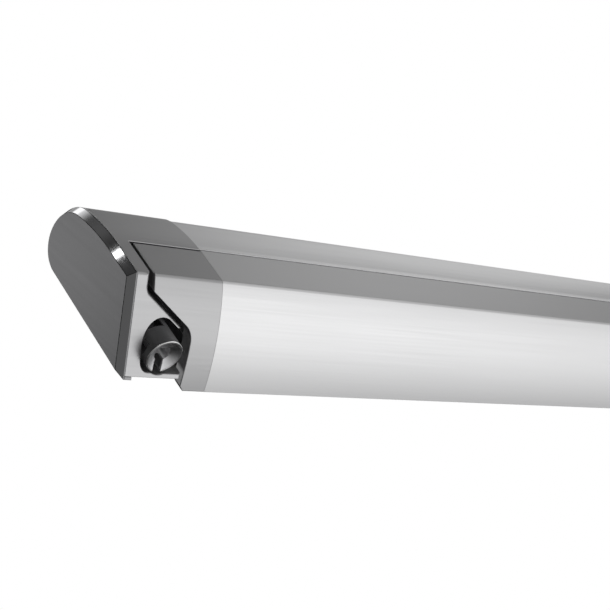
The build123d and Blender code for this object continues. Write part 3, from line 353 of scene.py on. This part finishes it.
def cloth(name, colour, across_only):
    """Woven cloth on the sheet's own map, in metres: two rows of threads, the second left out where the
    sheet is drawn out of the roll, and a faint stripe every 60 mm across the width."""
    material = bpy.data.materials.new(name)
    material.use_nodes = True
    add, join = node_maker(material)
    shader = material.node_tree.nodes["Principled BSDF"]
    shader.inputs["Roughness"].default_value = 0.82
    shader.inputs["Sheen Weight"].default_value = 0.15
    on_map = add("ShaderNodeUVMap", uv_map="cloth")
    warp = add("ShaderNodeTexWave", wave_type="BANDS", bands_direction="X", Scale=thread_scale)
    join(on_map.outputs["UV"], warp.inputs["Vector"])
    threads = warp.outputs["Fac"]
    if not across_only:
        weft = add("ShaderNodeTexWave", wave_type="BANDS", bands_direction="Y", Scale=thread_scale)
        join(on_map.outputs["UV"], weft.inputs["Vector"])
        both = add("ShaderNodeMath", operation="MULTIPLY")
        join(warp.outputs["Fac"], both.inputs[0])
        join(weft.outputs["Fac"], both.inputs[1])
        threads = both.outputs[0]
    stripe = add("ShaderNodeTexWave", wave_type="BANDS", bands_direction="X", Scale=1 / stripe_width / 3.2)
    join(on_map.outputs["UV"], stripe.inputs["Vector"])
    edge = add("ShaderNodeMapRange")
    edge.inputs["From Min"].default_value = 0.90
    edge.inputs["From Max"].default_value = 0.93
    edge.inputs["To Max"].default_value = 0.35
    join(stripe.outputs["Fac"], edge.inputs["Value"])
    tone = add("ShaderNodeMixRGB", blend_type="MIX")
    tone.inputs["Color1"].default_value = (*[c * 0.86 for c in colour], 1)
    tone.inputs["Color2"].default_value = (*[c * 1.1 for c in colour], 1)
    join(threads, tone.inputs["Fac"])
    striped = add("ShaderNodeMixRGB", blend_type="MULTIPLY")
    striped.inputs["Color2"].default_value = (0.45, 0.46, 0.50, 1)
    join(edge.outputs["Result"], striped.inputs["Fac"])
    join(tone.outputs["Color"], striped.inputs["Color1"])
    join(striped.outputs["Color"], shader.inputs["Base Color"])
    bump = add("ShaderNodeBump", Strength=0.3, Distance=0.0004)
    join(threads, bump.inputs["Height"])
    join(bump.outputs["Normal"], shader.inputs["Normal"])
    return material


def sheet_piece(name, x, path, thickness, material):
    """A grid of every place x along the awning and every (a, b) point of a path, with a map in metres:
    x, and the distance along the path. Solidify gives it the cloth's thickness to both sides."""
    path = np.asarray(path, float)
    along = np.concatenate([[0], np.cumsum(np.linalg.norm(np.diff(path, axis=0), axis=1))])
    points = in_row(x[:, None], path[None, :, 0], path[None, :, 1])
    index = np.arange(len(x) * len(path)).reshape(len(x), len(path))
    faces = np.stack([index[:-1, :-1], index[:-1, 1:], index[1:, 1:], index[1:, :-1]], axis=-1).reshape(-1, 4)
    mesh = bpy.data.meshes.new(name)
    mesh.from_pydata(points.reshape(-1, 3).tolist(), [], faces.tolist())
    mesh.polygons.foreach_set("use_smooth", np.ones(len(mesh.polygons), bool))
    flat = np.stack(np.broadcast_arrays(x[:, None], along[None, :]), axis=-1).reshape(-1, 2)
    mesh.uv_layers.new(name="cloth").data.foreach_set("uv", flat[faces.ravel()].ravel())
    piece = bpy.data.objects.new(name, mesh)
    bpy.context.scene.collection.objects.link(piece)
    piece.data.materials.append(material)
    body = piece.modifiers.new("thickness", "SOLIDIFY")
    body.thickness = thickness
    body.offset = 0
    return piece


turns = (roll_radius - roll_start) / cloth_thickness
leave = math.pi / 2 - math.atan2(groove_b - nose_radius - roll_radius, nose_a - groove_a)
share = np.linspace(0, 1, 720)
radius = roll_start + cloth_thickness / 2 + (roll_radius - roll_start - cloth_thickness) * share
turn = leave - 2 * math.pi * turns * (1 - share)
spiral = np.stack([nose_a + radius * np.cos(turn), nose_radius + radius * np.sin(turn)], axis=1)
cloth_grey = (0.30, 0.31, 0.33)
woven = cloth("awning_weave", cloth_grey, False)
drawn = cloth("awning_weave_drawn", cloth_grey, True)
wide_steps = np.linspace(-cloth_half, cloth_half, 7)
wound = sheet_piece("cloth_wound", wide_steps, spiral, cloth_thickness * 0.7, woven)
on_body(wound, "roller", "awning_cloth", "cloth_roll")

hem_tab = 0.0009
from_roll = spiral[-1]
to_hem = np.array([rail_back - hem_tab, groove_b])
step = np.linspace(0, 1, 33)[:, None]
run = from_roll * (1 - step) + to_hem * step
close_steps = np.linspace(-cloth_half, cloth_half, 9)
span = sheet_piece("cloth_stretched", close_steps, run, cloth_thickness * 0.8, drawn)
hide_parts("cloth_span")
blend_start, blend_end = (tuple(in_row(0, *place).ravel()) for place in (from_roll, to_hem))
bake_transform(span)

bead, mouth_turn = 0.0026, 0.18
wrap = np.linspace(mouth_turn, 2 * math.pi - mouth_turn, 28)
loop = np.stack([groove_a + bead * np.cos(wrap), groove_b + bead * np.sin(wrap)], axis=1)
tab = np.linspace(0, 1, 6)[1:, None]
tail = loop[-1] * (1 - tab) + to_hem * tab
hem_path = np.concatenate([loop, tail])
hem = sheet_piece("cloth_bead", wide_steps, hem_path, hem_cloth, woven)
on_body(hem, "lead_rail", "awning_cloth", "cloth_hem")

# Folding arms
# Each arm is two anodised box tubes with cast joints pushed into their ends, and turns on
# steel pins at the shoulder, the elbow and the rail. A close-wound spring keeps it tense.
arm_metal = finish("arm_anodised", (0.70, 0.70, 0.71), 0.38, along=(4, 400, 400), depth=0.03, metallic=1.0)
arm_pieces = {
    "shoulder_bracket": cast_alloy,
    "shoulder_knuckle": cast_alloy,
    "upper_arm": arm_metal,
    "elbow_fork": cast_alloy,
    "elbow_pin": steel,
    "elbow_eye": cast_alloy,
    "forearm": arm_metal,
    "rail_eye": cast_alloy,
    "rail_bracket": cast_alloy,
}
for name, metal in arm_pieces.items():
    for side in ("left", "right"):
        rounded(f"{name}_{side}", metal, edge=0.0008 if metal is cast_alloy else 0.0004)
rounded("shoulder_pins", steel)
rounded("rail_pins", steel)


def swept(name, centres, side, up, radius, around):
    """A round wire: rings of points about a path of centres, each ring drawn in the plane of two unit
    directions, and a face over each end."""
    turn = np.linspace(0, 2 * math.pi, around, endpoint=False)
    ring = side[:, None] * np.cos(turn)[None, :, None] + up[:, None] * np.sin(turn)[None, :, None]
    points = centres[:, None] + radius * ring
    return mesh_piece(name, points, ring_faces(len(centres), around))


shoulder_x, shoulder_a, arm_mid_b = 1.100, 0.086, 0.031
spring_start, spring_length, spring_outer, wire = 0.062, 0.420, 0.009, 0.0025
coils, per_coil = 140, 14
for side, sign in (("left", -1), ("right", 1)):
    share = np.linspace(0, 1, coils * per_coil)
    turn = 2 * math.pi * coils * share
    x = -shoulder_x + spring_start + wire / 2 + (spring_length - wire) * share
    reach = spring_outer - wire / 2
    outward = np.cos(turn)[:, None] * slab_back + np.sin(turn)[:, None] * slab_up
    across = np.tile([[1.0, 0.0, 0.0]], (len(turn), 1))
    middle = in_row(x, shoulder_a, arm_mid_b) + reach * outward
    middle[:, 0] *= -sign
    coil = swept(f"arm_spring_coil_{side}", middle, outward, across, wire / 2 * 0.96, 7)
    coil.data.materials.append(steel)
    on_body(coil, f"upper_arm_{side}", slot_of[f"arm_spring_{side}"], f"arm_spring_{side}")

# Lead rail
# The second long extrusion: an arched front, a level top with the cloth's groove at its
# back edge and a channel below for the legs. It closes the cassette like a lid.
brow_a = 0.0485
belly = np.array([0.0128, 0.0377])
hem_foot = np.array([-0.012, -0.017])
brow = np.array([brow_a, section_height])
chord = np.linalg.norm(brow - hem_foot)
chord_way = (brow - hem_foot) / chord
belly_along = (belly - hem_foot) @ chord_way
belly_out = abs((belly - hem_foot) @ np.array([chord_way[1], -chord_way[0]]))
reach = (chord * belly_along - belly_along**2 - belly_out**2) / (2 * belly_out)
rail_radius = math.hypot(reach, chord / 2)
rail_centre = (brow + hem_foot) / 2 + reach * np.array([chord_way[1], -chord_way[0]])


def front_arc(depth, low, high, count=2):
    """Points on the rail's front, this deep behind it, from one height to another: on a circle about the
    front's centre, so a is the centre's a less the root of radius squared less height squared."""
    b = np.linspace(low, high, count)
    a = rail_centre[0] - np.sqrt((rail_radius - depth) ** 2 - (b - rail_centre[1]) ** 2)
    return np.stack([a, b], axis=1)


def brow_round(radius, count=8):
    """The brow's rounding: an arc that touches the level top and the front. Its centre is one radius below
    the top and one radius inside the front's circle."""
    up = section_height - radius - rail_centre[1]
    centre = rail_centre + [-math.sqrt((rail_radius - radius) ** 2 - up**2), up]
    turn = np.linspace(0, math.atan2(rail_centre[0] - centre[0], up), count)
    return centre + radius * np.stack([-np.sin(turn), np.cos(turn)], axis=1)


brow_radius = 0.006
channel_top, channel_roof, channel_back = -0.0012, 0.0015, 0.038
hem_lip, rib_top, rib_foot = 0.005, 0.062, 0.060
groove_slot = 0.0024
slot_turn = math.asin(groove_slot / 2 / groove_radius)
bore = np.linspace(-slot_turn, slot_turn - 2 * math.pi, 20)
block_edge = groove_a - groove_radius - groove_wall
profile = np.concatenate([
    line((rail_back, section_height)),
    brow_round(brow_radius),
    front_arc(0, brow_round(brow_radius)[-1, 1], hem_foot[1], 48)[1:],
    line((hem_foot[0] + hem_lip, hem_foot[1]), (hem_foot[0] + hem_lip, hem_foot[1] + rail_wall)),
    front_arc(rail_wall, hem_foot[1] + rail_wall, channel_top - channel_roof, 8),
    line(
        (channel_back - channel_roof, channel_top - channel_roof),
        (channel_back - channel_roof, hem_foot[1]),
        (channel_back, hem_foot[1]),
        (channel_back, channel_top),
    ),
    front_arc(rail_wall, channel_top, rib_foot, 24),
    line(
        (rib_top, section_height - rail_wall),
        (block_edge, section_height - rail_wall),
        (block_edge, groove_b - groove_radius - groove_wall),
        (rail_back, groove_b - groove_radius - groove_wall),
        (rail_back, groove_b - groove_slot / 2),
    ),
    np.stack([groove_a + groove_radius * np.cos(bore), groove_b + groove_radius * np.sin(bore)], axis=1),
    line((rail_back, groove_b + groove_slot / 2)),
])
rail_plug = 0.0006
rail_end_x = cap_inner_x + rail_plug
rail_shell = extruded("lead_rail_shell", profile, -rail_end_x, rail_end_x, edge=0.0003, steps=24)
rail_shell.data.materials.append(anodised)
rail_nodes = ("lead_rail", "lead_rail_top", "leg_channel_roof", "leg_channel_back")
on_body(rail_shell, "lead_rail", "anodised_rail", *rail_nodes)

# Lead rail caps
# Hollow silver mouldings pushed over both ends of the lead rail. They step back past the crank bell, with a
# broad soft edge along the brow and a small rounding on their other edges.
brow_soft = 0.0027


def on_brow(x, a, b):
    """Whether a place lies on the brow, the line where the level top meets the front."""
    return np.hypot(a - brow_a, b - section_height) < line_touch


cap_metal = finish("satin_cap", (0.53, 0.53, 0.535), 0.40, along=(4, 300, 300), metallic=1.0, cloud=0.04)
for side in ("left", "right"):
    rounded(f"rail_cap_{side}", cap_metal, edge=0.0008, wide=brow_soft, picked=on_brow)

# Support legs
# Two telescopic legs lie side by side under the lead rail, each a rounded tube with an
# inner tube, a foot and a clamp lever, hung from a bracket in the channel.
of_slot["arm_silver"] = arm_metal
for name in ("leg_bracket", "leg_tube", "leg_slider", "leg_foot", "leg_lever"):
    for side in ("left", "right"):
        node = f"{name}_{side}"
        rounded(node, of_slot[slot_of[node]], edge=0.0004)

# End caps
# Hollow silver mouldings over the cassette's ends, open at the front for the lead rail's
# cap. Their slanted edge rolls softly into that gap. The left one opens for the bell.
for side in ("left", "right"):
    rounded(f"end_cap_{side}", cap_metal, edge=0.0005, wide=brow_soft, picked=on_brow)

# End plates
# Machined aluminium plates that close both ends: a flat satin face with a wide polished
# bevel along its top, nose and front, and below the front a tab under the cap's lip.
half_length, plate_thickness, bevel_depth = 1.300, 0.009, 0.0078
bevel_top, bevel_front, foot_a = 0.0075, 0.007, -0.010
tab_drop, tab_reach, tab_top = 0.0044, 0.018, 0.0017
front_lean = (brow_a - foot_a) / section_height


def plate_outline(top_inset, front_inset, foot_drop, count=40):
    """The closed section as a ring of points: underside, nose, top arc, level top and leaning front, with
    the same number of points on each for any inset."""
    top, nose = section_height - top_inset, nose_radius - top_inset / 2
    big = top_arc_radius(top, nose)
    meet = math.asin((nose_a - top_flat_end) / (big - nose))
    turn = np.linspace(math.pi, meet, count)
    on_nose = np.stack([nose_a + nose * np.sin(turn), nose + nose * np.cos(turn)], axis=1)
    turn = np.linspace(meet, 0, 12)[1:]
    on_top = np.stack([top_flat_end + big * np.sin(turn), top - big + big * np.cos(turn)], axis=1)
    foot = foot_a + front_inset
    low = (foot - front_lean * foot_drop, -foot_drop)
    return np.concatenate([line(low), on_nose, on_top, line((foot + front_lean * top, top))])


brushed = dict(along=(300, 5, 300), spread=0.05, depth=0.02)
# The face's grey, darker than the extrusion's, is partly the plate's own tone and partly painted shade on the
# end that faces away from the light.
plate_tone_and_painted_shade = finish("satin_plate_and_painted_shade", (0.353, 0.353, 0.36), 0.42, **brushed, metallic=1.0)
polished = dict(along=(300, 30, 300), spread=0.03, depth=0.01)
# The bevel's grey, darker than the face's, is painted shade standing in for the dark surroundings its
# polished faces reflect; its low roughness is the real polish.
bevel_polish_and_painted_shade = finish("polished_bevel_and_painted_shade", (0.315, 0.315, 0.32), 0.09, **polished, metallic=1.0)
tab_low_a, tab_high_a = (foot_a - front_lean * drop for drop in (tab_drop, tab_top))
tab = line((tab_high_a, -tab_top), (tab_low_a, -tab_drop), (floor_front, -tab_drop), (floor_front, -tab_top))
plate_back_x, tab_end_x = half_length - plate_thickness, half_length - tab_reach
for side, sign in (("left", -1), ("right", 1)):
    rings = [
        (half_length, plate_outline(bevel_top, bevel_front, 0)),
        (half_length - bevel_depth, plate_outline(0, 0, tab_drop)),
        (plate_back_x, plate_outline(0, 0, tab_drop)),
    ]
    points = np.stack([in_row(sign * x, ring[:, 0], ring[:, 1]) for x, ring in rings])
    faces = ring_faces(len(rings), points.shape[1])
    more = np.stack([in_row(sign * x, tab[:, 0], tab[:, 1]) for x in (plate_back_x, tab_end_x)])
    faces += [[points[..., 0].size + i for i in face] for face in ring_faces(2, len(tab))]
    points = np.concatenate([points.reshape(-1, 3), more.reshape(-1, 3)])
    plate = mesh_piece(f"plate_{side}", points, faces, edge=0.0004, angle=20)
    plate.data.materials.append(plate_tone_and_painted_shade)
    plate.data.materials.append(bevel_polish_and_painted_shade)
    normals = np.array([p.normal for p in plate.data.polygons])
    lengthwise = np.abs(normals[:, 0])
    tilted = (lengthwise > 0.2) & (lengthwise < 0.97)
    # The bevel's faces take the darker copy of the plate's metal, whose extra darkness is painted shade.
    plate.data.polygons.foreach_set("material_index", tilted.astype(np.int32))
    on_body(plate, "cassette", "plate_grey", f"end_plate_{side}")

# Crank bell
# A dark moulded skirt on the worm's shaft. A metal insert in its mouth has a rim in a lighter, glossier copy
# of its metal, partly a painted highlight, a satin cone and the bore, with a bar across it for the crank's
# hook.
crank_x, crank_b, bell_mouth_a, cone_radius, bell_wall = -1.2515, 0.0235, -0.007, 0.0189, 0.0016
bell_skin = finish("dark_moulding", (0.20, 0.20, 0.207), 0.40, along=(500, 500, 500), depth=0.06)
bell_cone = finish("cone_metal", (0.80, 0.80, 0.81), 0.40, along=(300, 300, 300), depth=0.05, metallic=1.0)
rim_polish_and_painted_highlight = finish("rim_metal_and_painted_highlight", (0.97, 0.97, 0.97), 0.3, along=(300, 300, 300), depth=0.02, metallic=1.0)
rounded("crank_bell", bell_skin, edge=0.0003)


def on_mouth(x, a, b):
    """Whether a place lies on the insert's outer edge at the bell's mouth."""
    from_axis = np.hypot(x - crank_x, b - crank_b)
    return abs(a - bell_mouth_a) < line_touch and from_axis > cone_radius + line_touch


rim_round = 0.0013
insert = rounded("bell_insert", bell_cone, edge=0.0003, wide=rim_round, picked=on_mouth)
insert.data.materials.append(rim_polish_and_painted_highlight)
middles = np.array([p.center for p in insert.data.polygons]) - datum
depth = middles @ slab_back - bell_mouth_a
out = np.hypot(middles[:, 0] - crank_x, middles @ slab_up - crank_b)
# The rim's faces take the lighter, glossier copy of the insert's metal: partly a painted highlight.
on_rim = (depth < bell_wall * 1.3) & (out > cone_radius - line_touch * 2)
insert.data.polygons.foreach_set("material_index", on_rim.astype(np.int32))
rounded("crank_shaft", steel, edge=0.0003)

# Studio
# A plain pale floor far below, so that nothing casts a shadow on it, soft light from the
# front right, and the camera close to the crank end.
floor_z, reach_out = -2.9, 200.0
corners = [(-1, -1), (1, -1), (1, 1), (-1, 1)]
floor_points = [(reach_out * x, reach_out * y, floor_z) for x, y in corners]
floor = mesh_piece("studio_floor", floor_points, [[0, 1, 2, 3]])
pale = bpy.data.materials.new("pale_floor")
pale.use_nodes = True
add, join = node_maker(pale)
glow = add("ShaderNodeEmission", Color=(1, 1, 1, 1), Strength=1.0)
join(glow.outputs[0], pale.node_tree.nodes["Material Output"].inputs["Surface"])
floor.data.materials.append(pale)
floor.visible_diffuse = False
floor.visible_glossy = False
floor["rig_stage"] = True

world = bpy.data.worlds.new("studio")
bpy.context.scene.world = world
world.use_nodes = True
add, join = node_maker(world)
background = world.node_tree.nodes["Background"]
towards = add("ShaderNodeTexCoord")


def lobe(direction, low, high, strength, before=None):
    """Adds soft light from one direction: the share of it in the ray's own direction, between two limits."""
    length = math.sqrt(sum(c * c for c in direction))
    dot = add("ShaderNodeVectorMath", operation="DOT_PRODUCT")
    dot.inputs[1].default_value = [c / length for c in direction]
    join(towards.outputs["Generated"], dot.inputs[0])
    soft = add("ShaderNodeMapRange", interpolation_type="SMOOTHSTEP")
    soft.inputs["From Min"].default_value = low
    soft.inputs["From Max"].default_value = high
    soft.inputs["To Max"].default_value = strength
    join(dot.outputs["Value"], soft.inputs["Value"])
    total = add("ShaderNodeMath", operation="ADD")
    total.inputs[0].default_value = 0.0
    if before is not None:
        join(before, total.inputs[0])
    join(soft.outputs["Result"], total.inputs[1])
    return total.outputs[0]


light = None
soft_lights = [
    ((0.62, -0.76, 0.25), 0.92, 0.43),
    ((0.68, -0.60, 0.45), 0.92, 0.15),
    ((0.89, -0.42, 0.15), 0.92, 0.34),
    ((0.45, -0.88, 0.10), 0.60, 0.48),
    ((0.78, -0.60, 0.15), 0.75, 0.22),
    ((0.00, -1.00, 0.30), 0.30, 0.315),
    ((0.62, 0.52, 0.58), 0.92, 0.145),
    ((0.83, 0.40, 0.42), 0.93, 0.21),
    ((0.72, 0.69, 0.00), 0.92, 0.55),
    ((0.73, 0.60, 0.33), 0.965, 0.60),
    ((-0.60, 0.73, -0.33), 0.90, 0.41),
    ((-0.44, 0.50, 0.75), 0.94, 0.09),
    ((-0.30, 0.72, 0.62), 0.97, 0.15),
    ((-0.11, 0.90, 0.42), 0.955, 3.1),
    ((0.15, 0.98, 0.10), 0.94, 0.70),
    ((0.68, -0.10, 0.72), 0.90, 0.75),
]
for direction, low, strength in soft_lights:
    light = lobe(direction, low, 1.0, strength, light)
seen = add("ShaderNodeLightPath")
chosen = add("ShaderNodeMixRGB", blend_type="MIX")
chosen.inputs["Color2"].default_value = (1, 1, 1, 1)
join(seen.outputs["Is Camera Ray"], chosen.inputs["Fac"])
join(light, chosen.inputs["Color1"])
join(chosen.outputs["Color"], background.inputs["Color"])


def in_row_direction(parts):
    """Row direction of one given along the awning, along the fall and square to it."""
    return np.array([parts[0], 0, 0]) + slab_back * parts[1] + slab_up * parts[2]


def lamp(name, aim, way, distance, size, radiance):
    """A rectangular lamp at a distance from a point, along a row direction, that faces the point: its first
    side lies along the fall, and its power is its radiance times its area times pi."""
    way = in_row_direction(way)
    way = way / np.linalg.norm(way)
    side = slab_back - (slab_back @ way) * way
    side = side / np.linalg.norm(side)
    data = bpy.data.lights.new(name, "AREA")
    data.shape = "RECTANGLE"
    data.size, data.size_y = size
    data.energy = math.pi * size[0] * size[1] * radiance
    data.use_shadow = False
    lit = bpy.data.objects.new(name, data)
    bpy.context.scene.collection.objects.link(lit)
    stand = np.eye(4)
    stand[:3, :3] = np.stack([side, np.cross(way, side), way], axis=1)
    stand[:3, 3] = in_row(*aim) + distance * way
    lit.matrix_world = Matrix(stand.tolist())
    lit.visible_camera = False


lamp("plate_lamp", (-1.300, 0.160, 0.030), (-0.58, 0.67, -0.48), 0.45, (0.30, 0.30), 0.33)
lamp("bevel_lamp", (-1.2961, 0.083, 0.0825), (-0.435, 0.65, 0.622), 0.14, (0.007, 0.05), 8.0)

camera = bpy.data.objects.new("camera", bpy.data.cameras.new("camera"))
bpy.context.scene.collection.objects.link(camera)
bpy.context.scene.camera = camera
sensor_width, focal_pixels, image_width = 36.0, 1500, 610
camera.data.sensor_width = sensor_width
camera.data.lens = sensor_width * focal_pixels / image_width
camera.data.clip_start, camera.data.clip_end = 0.05, 1000
right_way, down_way = (0.7134, -0.4967, 0.4943), (0.0711, -0.6505, -0.7562)
forward_way, camera_place = (0.6971, 0.5746, -0.4287), (-2.2176, -0.9203, 0.7888)
axes = [in_row_direction(right_way), -in_row_direction(down_way), -in_row_direction(forward_way)]
stand = np.eye(4)
stand[:3, :3] = np.stack([axis / np.linalg.norm(axis) for axis in axes], axis=1)
stand[:3, 3] = in_row(*camera_place)
camera.matrix_world = Matrix(stand.tolist())
bpy.context.scene.view_settings.view_transform = "Standard"

low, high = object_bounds()
